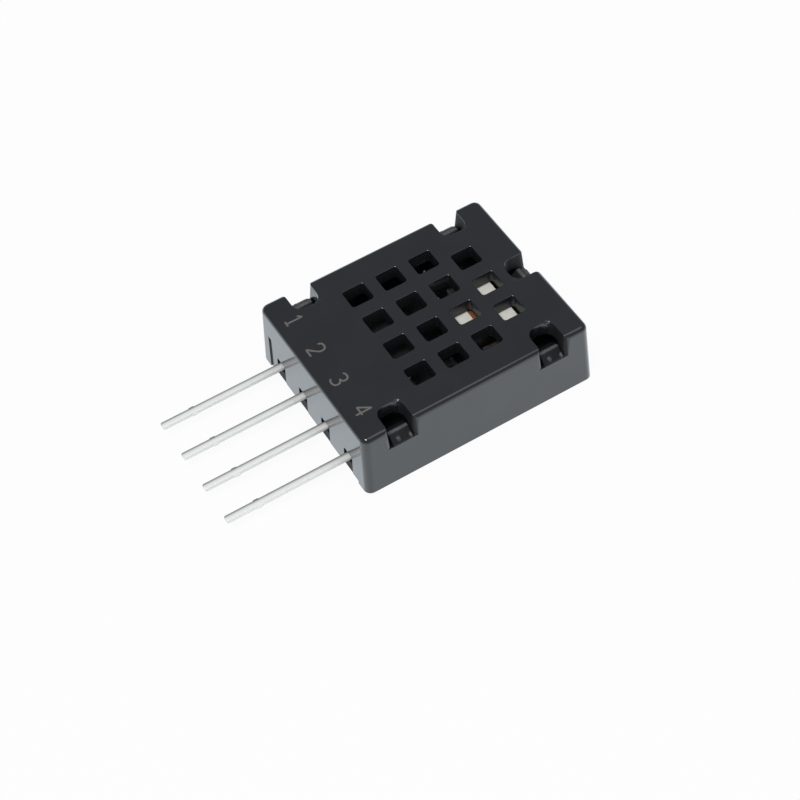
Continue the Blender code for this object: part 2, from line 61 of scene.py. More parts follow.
class Signal:
    def __init__(self, finish, socket):
        self.finish = finish
        self.socket = socket

    def join(self, operation, *values):
        made = self.finish.node("ShaderNodeMath", {"operation": operation}, dict(enumerate(values)))
        return Signal(self.finish, made.outputs[0])

    def __add__(self, other):
        return self.join("ADD", self, other)

    def __sub__(self, other):
        return self.join("SUBTRACT", self, other)

    def __mul__(self, other):
        return self.join("MULTIPLY", self, other)

    def __truediv__(self, other):
        return self.join("DIVIDE", self, other)

    def __radd__(self, other):
        return self.join("ADD", other, self)

    def __rsub__(self, other):
        return self.join("SUBTRACT", other, self)

    def __rmul__(self, other):
        return self.join("MULTIPLY", other, self)

    def __rtruediv__(self, other):
        return self.join("DIVIDE", other, self)

    def __gt__(self, other):
        return self.join("GREATER_THAN", self, other)

    def __lt__(self, other):
        return self.join("LESS_THAN", self, other)

    def __abs__(self):
        return self.join("ABSOLUTE", self)

    def __mod__(self, other):
        return self.join("FLOORED_MODULO", self, other)

    def lower(self, other):
        return self.join("MINIMUM", self, other)

    def higher(self, other):
        return self.join("MAXIMUM", self, other)

    def root(self):
        return self.join("SQRT", self)

    def sign(self):
        return self.join("SIGN", self)


def distance(first, second):
    return (first * first + second * second).root()


def weighted(weights, **signals):
    # The base plus every signal times its weight.
    total = weights["base"]
    for name, signal in signals.items():
        total = total + weights[name] * signal
    return total


def feed(tree, socket, value):
    # Links a socket, or sets its plain value.
    if isinstance(value, Signal):
        value = value.socket
    if isinstance(value, bpy.types.NodeSocket):
        tree.links.new(value, socket)
    elif isinstance(value, tuple) and len(value) == 3 and len(socket.default_value) == 4:
        socket.default_value = (*value, 1)
    else:
        socket.default_value = value


def addNode(tree, kind, settings=None, sockets=None):
    # The settings come first, and then the values or links of the sockets.
    made = tree.nodes.new(kind)
    for key, value in (settings or {}).items():
        setattr(made, key, value)
    for key, value in (sockets or {}).items():
        feed(tree, made.inputs[key], value)
    return made


class Finish:
    # A material with one Principled shader. Settings are plain socket values.
    def __init__(self, name, **settings):
        self.material = bpy.data.materials.new(name)
        self.material.use_nodes = True
        self.tree = self.material.node_tree
        self.tree.nodes.clear()
        self.output = self.node("ShaderNodeOutputMaterial")
        self.shader = self.node("ShaderNodeBsdfPrincipled")
        self.tree.links.new(self.shader.outputs[0], self.output.inputs[0])
        self.place = self.node("ShaderNodeTexCoord").outputs["Object"]
        for socket, value in settings.items():
            self.set(socket.replace("_", " "), value)

    def node(self, kind, settings=None, sockets=None):
        return addNode(self.tree, kind, settings, sockets)

    def set(self, socket, value):
        feed(self.tree, self.shader.inputs[socket], value)

    def axes(self):
        split = self.node("ShaderNodeSeparateXYZ", None, {0: self.place})
        return [Signal(self, split.outputs[i]) for i in range(3)]

    def spread(self, value, low, high, interpolation):
        made = self.node(
            "ShaderNodeMapRange",
            {"clamp": True, "interpolation_type": interpolation},
            {"Value": value, "From Min": low, "From Max": high},
        )
        return Signal(self, made.outputs[0])

    def step(self, value, low, high):
        # Runs smoothly from 0 at low to 1 at high.
        return self.spread(value, low, high, "SMOOTHSTEP")

    def noise(self, size, detail=2, stretch=(1, 1, 1)):
        # Cloudy values from 0 to 1. size is the width of one patch in metres.
        spot = self.node("ShaderNodeMapping", None, {0: self.place, "Scale": stretch})
        cloud = self.node(
            "ShaderNodeTexNoise",
            {"noise_dimensions": "3D"},
            {"Vector": spot.outputs[0], "Scale": 1 / size, "Detail": detail},
        )
        # The middle half of the noise's range holds nearly all of its values.
        return self.spread(cloud.outputs[0], 0.25, 0.75, "LINEAR")

    def blend(self, mask, first, second):
        # A colour between two colours, by a mask from 0 to 1. These are the Mix node's colour sockets.
        made = self.node("ShaderNodeMix", {"data_type": "RGBA"}, {0: mask, 6: first, 7: second})
        return made.outputs[2]

    def relief(self, *layers):
        # Each layer is a height signal and its depth in metres.
        normal = None
        for height, depth in layers:
            bump = self.node("ShaderNodeBump", None, {"Height": height, "Distance": depth})
            if normal:
                feed(self.tree, bump.inputs["Normal"], normal)
            normal = bump.outputs[0]
        self.set("Normal", normal)


# The camera, at the place the photograph was taken from

cameraSpec = {
    "place": (0.06572333, -0.03515709, 0.09491464),
    "right": (0.51807550, 0.85331009, -0.05881887),
    "down": (0.66324307, -0.44419744, -0.60232655),
    "forward": (-0.54009851, 0.27303942, -0.79607981),
    "focal": 2076.986,  # in pixels of the image
    "imageWidth": 800,
    "sensor": 36,  # in millimetres
    "sees": (0.005, 5),  # the nearest and the furthest distance
}


def makeCamera(spec):
    data = bpy.data.cameras.new("camera")
    data.sensor_width = spec["sensor"]
    data.lens = spec["focal"] / spec["imageWidth"] * spec["sensor"]
    data.clip_start, data.clip_end = spec["sees"]
    camera = addObject("camera", data)
    right, down, forward = (Vector(spec[k]).normalized() for k in ("right", "down", "forward"))
    turn = Matrix((right, -down, -forward)).transposed().to_4x4()
    camera.matrix_world = Matrix.Translation(spec["place"]) @ turn
    bpy.context.scene.camera = camera


makeCamera(cameraSpec)
print("camera set")


# Floor, surroundings and lamps

studio = {
    "floorSize": 1.2,
    "floorLevel": -0.02 * mm,
    "floorColour": (0.86, 0.86, 0.86),
    "floorRoughness": 0.9,
    "floorGloss": 0.1,
    "floorSeen": 0.93,  # how much of the floor's plain white the camera sees
    "floorMirrored": 0.86,  # and how much of it reflections see, in this colour
    "mirroredColour": (0.86, 0.94, 1.0),
    "white": (1, 1, 1),
    "above": 0.5,
    "aboveMirrored": (0.25, 0.262, 0.30),
    "lamps": {
        # name: place, size, power
        "soft_top": ((0.06, 0.12, 0.36), 0.24, 0.12),
        "near_camera": ((0.10, -0.13, 0.37), 0.15, 0.62),
    },
}


def makeFloor(spec):
    half = spec["floorSize"] / 2
    corners = [(-half, -half, 0), (half, -half, 0), (half, half, 0), (-half, half, 0)]
    mesh = bpy.data.meshes.new("floor")
    mesh.from_pydata(corners, [], [(0, 1, 2, 3)])
    floor = addObject("floor", mesh)
    floor.location.z = spec["floorLevel"]
    paper = Finish(
        "studio_floor",
        Base_Color=spec["floorColour"],
        Roughness=spec["floorRoughness"],
        Specular_IOR_Level=spec["floorGloss"],
    )
    rays = paper.node("ShaderNodeLightPath").outputs
    byCamera, byGlossy, byGlass = (
        Signal(paper, rays[f"Is {kind} Ray"]) for kind in ("Camera", "Glossy", "Transmission")
    )

    def plainWhere(share, colour, below):
        glow = paper.node("ShaderNodeEmission", None, {"Color": colour, "Strength": 1.0})
        mixed = paper.node("ShaderNodeMixShader", None, {0: share, 1: below, 2: glow.outputs[0]})
        return mixed.outputs[0]

    mirrored = (byGlossy + byGlass) * spec["floorMirrored"]
    mirror = plainWhere(mirrored, spec["mirroredColour"], paper.shader.outputs[0])
    seen = plainWhere(byCamera * spec["floorSeen"], spec["white"], mirror)
    feed(paper.tree, paper.output.inputs[0], seen)
    mesh.materials.append(paper.material)


def makeWorld(spec):
    world = bpy.data.worlds.new("studio")
    bpy.context.scene.world = world
    world.use_nodes = True
    tree = world.node_tree
    tree.nodes.clear()
    rays = addNode(tree, "ShaderNodeLightPath").outputs

    def plain(colour, strength):
        return addNode(tree, "ShaderNodeBackground", None, {0: colour, 1: strength}).outputs[0]

    def choose(rule, otherwise, chosen):
        sockets = {0: rays[rule], 1: otherwise, 2: chosen}
        return addNode(tree, "ShaderNodeMixShader", None, sockets).outputs[0]

    # The room lights the object, reflections show it a little darker, and the camera sees white.
    lit = plain(spec["white"], spec["above"])
    room = choose("Is Glossy Ray", lit, plain(spec["aboveMirrored"], 1))
    seen = choose("Is Camera Ray", room, plain(spec["white"], 1))
    addNode(tree, "ShaderNodeOutputWorld", None, {0: seen})


def makeLamp(name, place, size, power):
    data = bpy.data.lights.new(name, "AREA")
    data.shape = "DISK"
    data.size = size
    data.energy = power
    place = Vector(place)
    turn = place.to_track_quat("Z", "Y").to_matrix().to_4x4()
    addObject(name, data).matrix_world = Matrix.Translation(place) @ turn


makeFloor(studio)
makeWorld(studio)
for lampName, lampSpec in studio["lamps"].items():
    makeLamp(lampName, *lampSpec)
print("floor, surroundings and", len(studio["lamps"]), "lamps set")


# Finishes. In their dictionaries, patterns are the widths of the patches in metres, the numbers
# under coat and roughness add up as weighted() says, and depths are the heights of the relief.

housing = {
    "halfWidth": 6.05 * mm,
    "halfLength": 7.55 * mm,
    "top": 4.5 * mm,
    "notchesAt": 4.95 * mm,  # from the middle, on both long sides
    "notchEnd": 4.46 * mm,  # how far from the middle the notches reach in
    "notchHalf": 0.6 * mm,
    "flareHalf": 1.12 * mm,
    "farNotch": (1.5 * mm, 4.5 * mm),  # the notch of the far end lies within this x, beyond this y
    "ledge": 2.97 * mm,  # the foot of the notches
    "softened": 0.34 * mm,  # around each corner of a notch
    "mattTo": (1.0 * mm, 0.9 * mm),  # how far along a notch its matt wall reaches
    "wallFrom": 0.5,  # where that wall starts, in shares of notchHalf
    "mattBelow": 0.1 * mm,  # the top
    "edge": 0.2 * mm,  # the rubbed strip along the edges of the top
    "edgeFull": 0.3,  # where the strip is rubbed most, in shares of its width
    "ventsX": 4.2 * mm,  # half the field of vents, and its middle
    "ventsY": 4.1 * mm,
    "ventsMiddleY": 1.05 * mm,
    "ventsMattFrom": (0.05 * mm, 0.2 * mm),  # below the top
    "ventsMatt": 0.7,
    "colours": ((0.0080, 0.0092, 0.0110), (0.0110, 0.0124, 0.0145)),
    "patterns": {"cloud": 2.5 * mm, "grain": 0.09 * mm, "beads": 0.2 * mm, "waves": 1.6 * mm},
    "coat": {"base": 0.85, "cloud": 0.1, "flank": -0.12, "rubbed": -0.35},
    "roughness": {"base": 0.14, "cloud": 0.05, "grain": 0.04, "rubbed": 0.1, "matt": 0.4},
    "depths": {"waves": 0.004 * mm, "grain": 0.0006 * mm, "corner": 0.12 * mm, "rubbed": 0.008 * mm},
}


def notchPlace(x, y, spec):
    # Every notch is seen as the same notch: how far out a point lies, and how far to its side.
    within, beyond = spec["farNotch"]
    isFar = (abs(x) < within) * (y > beyond)
    sideAlong = y - y.sign() * spec["notchesAt"]
    across = abs(x) + (y - (spec["halfLength"] - spec["halfWidth"]) - abs(x)) * isFar
    along = sideAlong + (x - sideAlong) * isFar
    return across, along, isFar


def blackPlastic(spec):
    f = Finish("black_plastic", IOR=1.5, Coat_IOR=1.5, Coat_Roughness=0.06)
    x, y, z = f.axes()
    across, along, isFar = notchPlace(x, y, spec)
    pattern, depth = spec["patterns"], spec["depths"]
    top, edge = spec["top"], spec["edge"]
    cloud = f.noise(pattern["cloud"], detail=3)
    grain = f.noise(pattern["grain"])
    f.set("Base Color", f.blend(cloud, *spec["colours"]))
    # The edges of the top are rubbed, in beads.
    outer = (abs(x) - spec["halfWidth"]).higher(abs(y) - spec["halfLength"])
    onEdge = f.step(outer, -edge, -spec["edgeFull"] * edge) * f.step(z, top - edge, top)
    rubbed = onEdge * f.noise(pattern["beads"])
    # The corners of the notches are softened.
    mouth = distance(across - spec["halfWidth"], along - spec["flareHalf"])
    inner = distance(across - spec["notchEnd"], along - spec["notchHalf"])
    corner = distance(mouth.lower(inner), z - top)
    # The mould's slides leave one wall of most notches matt, and its cores the walls of the vents.
    # The far edge is matt too.
    half = spec["notchHalf"]
    oneWall = f.step(along, spec["wallFrom"] * half, half).higher(isFar)
    mostNotches = (y > 0.0).higher(x > 0.0)
    walls = f.step(abs(along), *spec["mattTo"]) * (across > spec["notchEnd"]) * (z > spec["ledge"])
    slide = walls * oneWall * mostNotches * f.step(z, top, top - spec["mattBelow"])
    farEdge = f.step(y, spec["halfLength"] - edge, spec["halfLength"]) * (z > top - edge)
    overVents = (abs(x) < spec["ventsX"]) * (abs(y - spec["ventsMiddleY"]) < spec["ventsY"])
    inVents = overVents * f.step(z, *(top - below for below in spec["ventsMattFrom"]))
    matt = slide.higher(farEdge).higher(spec["ventsMatt"] * inVents)
    flank = f.step(abs(x), spec["halfWidth"] - edge, spec["halfWidth"])
    coat = weighted(spec["coat"], cloud=cloud, flank=flank, rubbed=rubbed)
    f.set("Coat Weight", coat * (1.0 - matt))
    f.set("Roughness", weighted(spec["roughness"], cloud=cloud, grain=grain, rubbed=rubbed, matt=matt))
    f.relief(
        (f.noise(pattern["waves"], detail=1), depth["waves"]),
        (grain, depth["grain"]),
        (f.step(corner, 0.0, spec["softened"]), depth["corner"]),
        (rubbed, depth["rubbed"]),
    )
    return f.material


clipPips = {
    # the moulded pip on the sloping face of each clip
    "out": 5.74 * mm,  # from the middle, on the four side clips
    "along": -0.2 * mm,
    "level": 3.235 * mm,
    "slope": (0.67, 0.74),  # outwards and upwards
    "radius": 0.15 * mm,
    "height": 0.05 * mm,
}

backCover = {
    # each clip: a painted highlight along its crest, around its pip and at its end
    "clipAbove": 2.98 * mm,
    "crest": 5.3 * mm,
    "crestHalf": 0.16 * mm,
    "pipShine": 0.16 * mm,
    "end": (5.8 * mm, 0.54 * mm),
    "endRadius": 0.14 * mm,
    "fullWithin": 0.3,  # in shares of how far a rubbed spot reaches
    "shineFull": 0.2,  # in shares of the way to the middle of the pip
    # the marks of the mould underneath
    "ejector": 0.6 * mm,
    "ejectorAt": (3.9 * mm, 5.0 * mm),
    "gate": 0.3 * mm,
    "line": 0.04 * mm,
    "marksBelow": 0.1 * mm,
    "colours": ((0.011, 0.0118, 0.0132), (0.015, 0.0160, 0.0175)),
    # painted highlights: the lighter colours around each pip, and along each crest and end
    "pipHighlightColour": (0.10, 0.105, 0.11),
    "wornColour": (0.15, 0.155, 0.16),
    "patterns": {"cloud": 2.0 * mm, "grain": 0.06 * mm, "worn": 0.15 * mm, "waves": 0.5 * mm},
    "roughness": {"base": 0.46, "cloud": 0.08, "grain": 0.08, "worn": -0.2, "shine": -0.25},
    "depths": {"grain": 0.0015 * mm, "waves": 0.002 * mm, "marks": 0.012 * mm},
}


def backPlastic(spec, pips, case):
    # Each clip has a painted highlight along its crest, at its end and around its pip. The underside has the
    # rings of the mould's ejectors and the stub of its gate.
    f = Finish("back_plastic", IOR=1.45, Specular_IOR_Level=0.3)
    x, y, z = f.axes()
    across, along = notchPlace(x, y, case)[:2]
    pattern, depth = spec["patterns"], spec["depths"]
    cloud = f.noise(pattern["cloud"], detail=3)
    grain = f.noise(pattern["grain"])

    def near(gap, reach):
        # 1 close by, and 0 from the reach on.
        return f.step(gap / reach, 1.0, spec["fullWithin"])

    clip = z > spec["clipAbove"]
    toPip = distance(across - pips["out"], along - pips["along"])
    # Painted highlight: the colour is lighter around each pip, where a glint falls. The same mask lowers the
    # roughness there.
    pipHighlight = (1.0 - toPip / spec["pipShine"]).higher(0.0) * clip
    endOut, endAlong = spec["end"]
    # Painted highlight: the crest and the end of each clip are coloured lighter where highlights and glints
    # fall. The same mask lowers the roughness there.
    crest = near(abs(across - spec["crest"]), spec["crestHalf"])
    tip = near(distance(across - endOut, along - endAlong), spec["endRadius"])
    worn = crest.higher(tip) * clip * (0.5 + 0.5 * f.noise(pattern["worn"]))
    ringX, ringY = spec["ejectorAt"]
    ring = abs(distance(abs(x) - ringX, abs(y) - ringY) - spec["ejector"]) / spec["line"]
    stub = abs(distance(x, y) - spec["gate"]) / spec["line"]
    stamped = (1.0 - ring.lower(stub)).higher(0.0) * (z < spec["marksBelow"])
    pipped = f.blend(pipHighlight, f.blend(cloud, *spec["colours"]), spec["pipHighlightColour"])
    f.set("Base Color", f.blend(worn, pipped, spec["wornColour"]))
    shine = f.step(pipHighlight, 0.0, spec["shineFull"])
    f.set("Roughness", weighted(spec["roughness"], cloud=cloud, grain=grain, worn=worn, shine=shine))
    f.relief(
        (grain, depth["grain"]),
        (f.noise(pattern["waves"]), depth["waves"]),
        (1.0 - stamped, depth["marks"]),
    )
    return f.material


def grained(name, spec, **settings):
    # One grain sets the colour, the roughness and the relief.
    f = Finish(name, **settings)
    grain = f.noise(spec["grain"], spec["detail"], spec.get("stretch", (1, 1, 1)))
    f.set("Base Color", f.blend(grain, *spec["colours"]))
    f.set("Roughness", weighted(spec["roughness"], grain=grain))
    f.relief((grain, spec["depth"]))
    return f.material


board = {
    "colours": ((0.003, 0.013, 0.009), (0.004, 0.019, 0.012)),
    "grain": 0.12 * mm,
    "detail": 1,
    "stretch": (1, 3, 1),
    "roughness": {"base": 0.28, "grain": 0.1},
    "depth": 0.002 * mm,
}

solder = {
    "colours": ((0.55, 0.56, 0.57), (0.75, 0.75, 0.75)),
    "grain": 0.15 * mm,
    "detail": 3,
    "roughness": {"base": 0.25, "grain": 0.2},
    "depth": 0.004 * mm,
}

chip = {
    "colours": ((0.010, 0.010, 0.011), (0.022, 0.022, 0.023)),
    "grain": 0.04 * mm,
    "detail": 2,
    "roughness": {"base": 0.5, "grain": 0.15},
    "depth": 0.003 * mm,
}

pins = {
    "pitch": 2.54 * mm,
    "half": 0.24 * mm,  # half the width of a pin
    "bright": ((0.95, 0.96, 0.95), (1.0, 1.0, 0.99)),
    # painted shade: the darker colour of one side of each pin
    "shadedSide": (0.24, 0.275, 0.265),
    "shadedSideTo": (-0.85, 0.05),  # across a pin, from -1 to 1
    "streak": 0.05 * mm,
    "stretch": (1, 0.06, 1),
    "cloud": 0.5 * mm,
    "roughness": {"base": 0.34, "cloud": 0.1, "streak": 0.06},
    "depths": {"crown": 0.04 * mm, "streak": 0.0006 * mm, "cloud": 0.0015 * mm},
}


def tinnedMetal(spec):
    # Stamped and tinned: streaks along the pin, and a slight crown across its width.
    # One side of each pin is coloured darker. This is a painted shade for the darker reflection along that
    # edge.
    f = Finish("tinned_metal", Metallic=0.2, IOR=1.5)
    pitch, depth = spec["pitch"], spec["depths"]
    streak = f.noise(spec["streak"], stretch=spec["stretch"])
    cloud = f.noise(spec["cloud"])
    across = ((f.axes()[0] / pitch) % 1.0 - 0.5) * (pitch / spec["half"])
    bright = f.blend(streak, *spec["bright"])
    # Painted shade: the -X side of each pin runs darker towards its edge.
    f.set("Base Color", f.blend(f.step(across, *spec["shadedSideTo"]), spec["shadedSide"], bright))
    f.set("Roughness", weighted(spec["roughness"], cloud=cloud, streak=streak))
    f.relief(
        (1.0 - across * across, depth["crown"]),
        (streak, depth["streak"]),
        (cloud, depth["cloud"]),
    )
    return f.material


carrier = {
    "white": ((0.88, 0.86, 0.77), (0.95, 0.94, 0.89)),
    "darkSides": ((0.012, 0.012, 0.010), (0.030, 0.028, 0.022)),
    "whiteFrom": (3.4 * mm, 3.45 * mm),
    "cloud": 0.4 * mm,
    "grain": 0.04 * mm,
    "roughness": {"base": 0.4, "cloud": 0.15},
    "depth": 0.002 * mm,
}


def ceramic(spec):
    # Only the face is white. Below the face, the sides are near-black.
    f = Finish("white_ceramic", IOR=1.5)
    cloud = f.noise(spec["cloud"], detail=3)
    white, darkSides = (f.blend(cloud, *spec[colours]) for colours in ("white", "darkSides"))
    f.set("Base Color", f.blend(f.step(f.axes()[2], *spec["whiteFrom"]), darkSides, white))
    f.set("Roughness", weighted(spec["roughness"], cloud=cloud))
    f.relief((f.noise(spec["grain"]), spec["depth"]))
    return f.material


film = {
    "colours": ((0.16, 0.04, 0.015), (0.34, 0.10, 0.03)),
    "cloud": 0.5 * mm,
    "combColour": (0.50, 0.22, 0.08),
    "combPitch": 0.16 * mm,
    "combEdge": (0.2, 0.3),  # in shares of the pitch
    "combMetal": 0.4,
    "roughness": {"base": 0.3, "comb": 0.15},
    "depth": 0.004 * mm,
}


def sensingFilm(spec):
    # A comb of electrodes shows through the film.
    f = Finish("sensing_film", IOR=1.5)
    comb = f.step(abs((f.axes()[0] / spec["combPitch"]) % 1.0 - 0.5), *spec["combEdge"])
    body = f.blend(f.noise(spec["cloud"]), *spec["colours"])
    f.set("Base Color", f.blend(comb, body, spec["combColour"]))
    f.set("Metallic", spec["combMetal"] * comb)
    f.set("Roughness", weighted(spec["roughness"], comb=comb))
    f.relief((comb, spec["depth"]))
    return f.material


smallParts = {
    "capFrom": (0.55, 0.58),  # in shares of half the length
    "capColour": (0.6, 0.6, 0.59),
    "capRoughness": 0.28,
    "cloud": 0.12 * mm,
    "cloudRoughness": 0.1,
    "depth": 0.004 * mm,
    "looks": [
        # the parts, the darkest and the lightest colour of their bodies, and their roughness
        (numbered("capacitor", 4), (0.045, 0.033, 0.022), (0.075, 0.054, 0.036), 0.4),
        (numbered("resistor", 4), (0.008, 0.008, 0.009), (0.014, 0.014, 0.016), 0.25),
        (["temperature_sensor"], (0.03, 0.025, 0.025), (0.05, 0.045, 0.04), 0.4),
    ],
}


def chipPart(name, spec, dark, light, roughness):
    # A body between tinned end caps, which are found by the distance along the part.
    low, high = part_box(name)
    size, middle = high - low, (low + high) / 2
    axis = 0 if size.x > size.y else 1
    half = size[axis] / 2
    f = Finish(name, IOR=1.5)
    cap = f.step(abs(f.axes()[axis] - middle[axis]), *(half * share for share in spec["capFrom"]))
    cloud = f.noise(spec["cloud"], detail=3)
    weights = {"base": roughness, "cap": spec["capRoughness"] - roughness, "cloud": spec["cloudRoughness"]}
    f.set("Base Color", f.blend(cap, f.blend(cloud, dark, light), spec["capColour"]))
    f.set("Metallic", cap)
    f.set("Roughness", weighted(weights, cap=cap, cloud=cloud))
    f.relief((cloud, spec["depth"]))
    return f.material


def dress(names, material):
    for name in names:
        slots = nodes[name].data.materials
        slots.clear()
        slots.append(material)


backFinish = backPlastic(backCover, clipPips, housing)
dress(["front_cover"], blackPlastic(housing))
dress(["back_cover"], backFinish)
dress(["circuit_board"], grained("solder_mask", board, IOR=1.5))
dress(numbered("pin", 4), tinnedMetal(pins))
dress(numbered("solder_joint", 4), grained("solder", solder, Metallic=1.0))
dress(["humidity_sensor"], ceramic(carrier))
dress(["sensing_film"], sensingFilm(film))
dress(["microcontroller"], grained("chip_resin", chip, IOR=1.5))
for partNames, *partLook in smallParts["looks"]:
    for partName in partNames:
        dress([partName], chipPart(partName, smallParts, *partLook))
print("finishes set on", len(nodes), "parts")


# Smooth shading of the parts

smoothing = {
    "angle": 35,  # degrees: edges that bend more stay sharp
    "rimAngle": 25,  # the same in the plane of the top, for the rims of the vents
    "merge": 0.001 * mm,
    "flat": 0.5,  # degrees: faces that bend less become one
    "faceWeight": 100,
    "sameArea": 2e-8,  # square metres: areas closer than this count as equal
    "pieceAngle": 40,  # for the new pieces
}


def smoothGroup(spec, top):
    # Shades everything smooth and keeps the edges above the angle sharp.
    tree = bpy.data.node_groups.new("smooth_by_angle", "GeometryNodeTree")
    for direction in ("INPUT", "OUTPUT"):
        tree.interface.new_socket("Geometry", in_out=direction, socket_type="NodeSocketGeometry")

    def add(kind, settings=None, sockets=None):
        return addNode(tree, kind, settings, sockets).outputs

    start = add("NodeGroupInput")[0]
    plain = add("GeometryNodeRemoveAttribute", None, {"Geometry": start, "Name": "custom_normal"})[0]
    allSmooth = {"Geometry": plain, "Shade Smooth": True}
    soft = add("GeometryNodeSetShadeSmooth", {"domain": "FACE"}, allSmooth)[0]
    height = add("ShaderNodeSeparateXYZ", None, {0: add("GeometryNodeInputPosition")[0]})[2]
    inTop = add("ShaderNodeMath", {"operation": "GREATER_THAN"}, {0: height, 1: top - spec["merge"]})[0]
    angle, rimAngle = math.radians(spec["angle"]), math.radians(spec["rimAngle"])
    turned = {0: inTop, 1: rimAngle - angle, 2: angle}
    limit = add("ShaderNodeMath", {"operation": "MULTIPLY_ADD"}, turned)[0]
    bend = add("GeometryNodeInputMeshEdgeAngle")[0]
    isSharp = {"data_type": "FLOAT", "operation": "GREATER_THAN"}
    sharp = add("FunctionNodeCompare", isSharp, {0: bend, 1: limit})[0]
    edges = {"Geometry": soft, "Selection": sharp, "Shade Smooth": False}
    edged = add("GeometryNodeSetShadeSmooth", {"domain": "EDGE"}, edges)[0]
    add("NodeGroupOutput", None, {0: edged})
    return tree


def smoothNode(node, tree, spec):
    # Joins the loose triangles and the flat faces. The large flat faces keep their own direction,
    # and only the small ones between them bend.
    def add(name, kind, **settings):
        modifier = node.modifiers.new(name, kind)
        for key, value in settings.items():
            setattr(modifier, key, value)

    add("joined", "WELD", merge_threshold=spec["merge"])
    add("flat_faces", "DECIMATE", decimate_type="DISSOLVE", angle_limit=math.radians(spec["flat"]))
    add("smooth", "NODES", node_group=tree)
    add(
        "weighted_normal",
        "WEIGHTED_NORMAL",
        keep_sharp=True,
        weight=spec["faceWeight"],
        thresh=spec["sameArea"],
    )


smoothTree = smoothGroup(smoothing, housing["top"])
for partNode in nodes.values():
    smoothNode(partNode, smoothTree, smoothing)
print("parts shaded smooth")


# Small pieces. Each one is a surface worked out from a formula, closed and with its faces outwards.


def quadRows(rows, columns, first=0, wrap=False):
    # Four-sided faces between neighbouring points of a grid that is stored row by row.
    grid = first + np.arange(rows * columns).reshape(rows, columns)
    if wrap:
        grid = np.column_stack([grid, grid[:, 0]])
    corners = (grid[:-1, :-1], grid[:-1, 1:], grid[1:, 1:], grid[1:, :-1])
    return np.stack(corners, axis=-1).reshape(-1, 4).tolist()


def sweep(path, side, outlines):
    # One outline is set across each point of the path. Its first number runs along side, its second
    # one square to side and to the path. Flat faces close both ends.
    path, side, outlines = (np.asarray(part, float) for part in (path, side, outlines))
    ahead = np.gradient(path, axis=0)
    side = np.broadcast_to(side, path.shape) / np.linalg.norm(side, axis=-1, keepdims=True)
    up = np.cross(ahead, side)
    up /= np.linalg.norm(up, axis=1, keepdims=True)
    rings = path[:, None] + outlines[..., :1] * side[:, None] + outlines[..., 1:] * up[:, None]
    count, around = rings.shape[:2]
    faces = quadRows(count, around, wrap=True)
    faces.append(list(range(around))[::-1])
    faces.append(list(range((count - 1) * around, count * around)))
    return rings.reshape(-1, 3), faces


def closedPatch(top, floor):
    # A grid of points with a flat underside at the height floor, and walls around it.
    rows, columns = top.shape[:2]
    size = rows * columns
    under = top.copy()
    under[..., 2] = floor
    faces = quadRows(rows, columns)
    faces += [face[::-1] for face in quadRows(rows, columns, size)]
    grid = np.arange(size).reshape(rows, columns)
    ring = np.concatenate([grid[0], grid[1:, -1], grid[-1, -2::-1], grid[-2:0:-1, 0]])
    ahead = np.roll(ring, -1)
    faces += np.column_stack([ahead, ring, ring + size, ahead + size]).tolist()
    return np.concatenate([top.reshape(-1, 3), under.reshape(-1, 3)]), faces


def outward(points, faces):
    # Turns the faces round where the enclosed volume comes out negative.
    corners = [(face[0], *pair) for face in faces for pair in zip(face[1:], face[2:])]
    a, b, c = points[np.array(corners)].transpose(1, 0, 2)
    return faces if np.sum(a * np.cross(b, c)) > 0 else [face[::-1] for face in faces]


def addPiece(name, shells, material):
    # All shells together make one piece. It rides on the housing, which doesn't move.
    points, faces = [], []
    for shellPoints, shellFaces in shells:
        centred = shellPoints - shellPoints.mean(axis=0)
        start = sum(len(part) for part in points)
        faces += [[start + i for i in face] for face in outward(centred, shellFaces)]
        points.append(shellPoints)
    mesh = bpy.data.meshes.new(name)
    mesh.from_pydata(np.concatenate(points).tolist(), [], faces)
    mesh.polygons.foreach_set("use_smooth", [True] * len(mesh.polygons))
    mesh.set_sharp_from_angle(angle=math.radians(smoothing["pieceAngle"]))
    mesh.materials.append(material)
    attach(addObject(name, mesh), "root")


# The marks over the pins, in a light laser grey. Only the numbers of the pins stand here.

pinMarks = {
    "height": 1.0 * mm,
    "width": 0.62 * mm,
    "stroke": 0.125 * mm,
    "proud": 0.004 * mm,
    "sunk": 0.001 * mm,
    "middleY": -6.2 * mm,
    "middleDigit": 2.5,
    "steps": (6, 24, 7),  # along each round end, along the line, and across the arch
    "firstStep": 0.12,  # radians: where a round end starts, just off its tip
    "strokes": {
        # digit: lines through points, in shares of the width and height from the middle
        1: [[(-0.28, 0.28), (0.05, 0.5), (0.05, -0.5)], [(-0.28, -0.5), (0.38, -0.5)]],
        2: [
            [(-0.44, 0.24), (-0.4, 0.38), (-0.26, 0.47), (0.0, 0.5), (0.26, 0.47), (0.4, 0.37), (0.44, 0.24)]
            + [(0.4, 0.1), (0.28, -0.02), (0.0, -0.22), (-0.3, -0.4), (-0.44, -0.5), (0.48, -0.5)]
        ],
        3: [
            [(-0.42, 0.38), (-0.24, 0.47), (0.0, 0.5), (0.24, 0.47), (0.38, 0.38), (0.42, 0.27)]
            + [(0.38, 0.15), (0.24, 0.06), (0.0, 0.03)],
            [(0.0, 0.03), (0.26, 0.0), (0.42, -0.11), (0.47, -0.24), (0.42, -0.37), (0.26, -0.46)]
            + [(0.0, -0.5), (-0.26, -0.47), (-0.46, -0.38)],
        ],
        4: [[(0.22, -0.5), (0.22, 0.5), (-0.48, -0.18), (0.5, -0.18)]],
    },
    "colours": ((0.100, 0.092, 0.085), (0.190, 0.176, 0.162)),
    "grain": 0.05 * mm,
    "detail": 2,
    "roughness": {"base": 0.5, "grain": 0.2},
    "depth": 0.003 * mm,
}


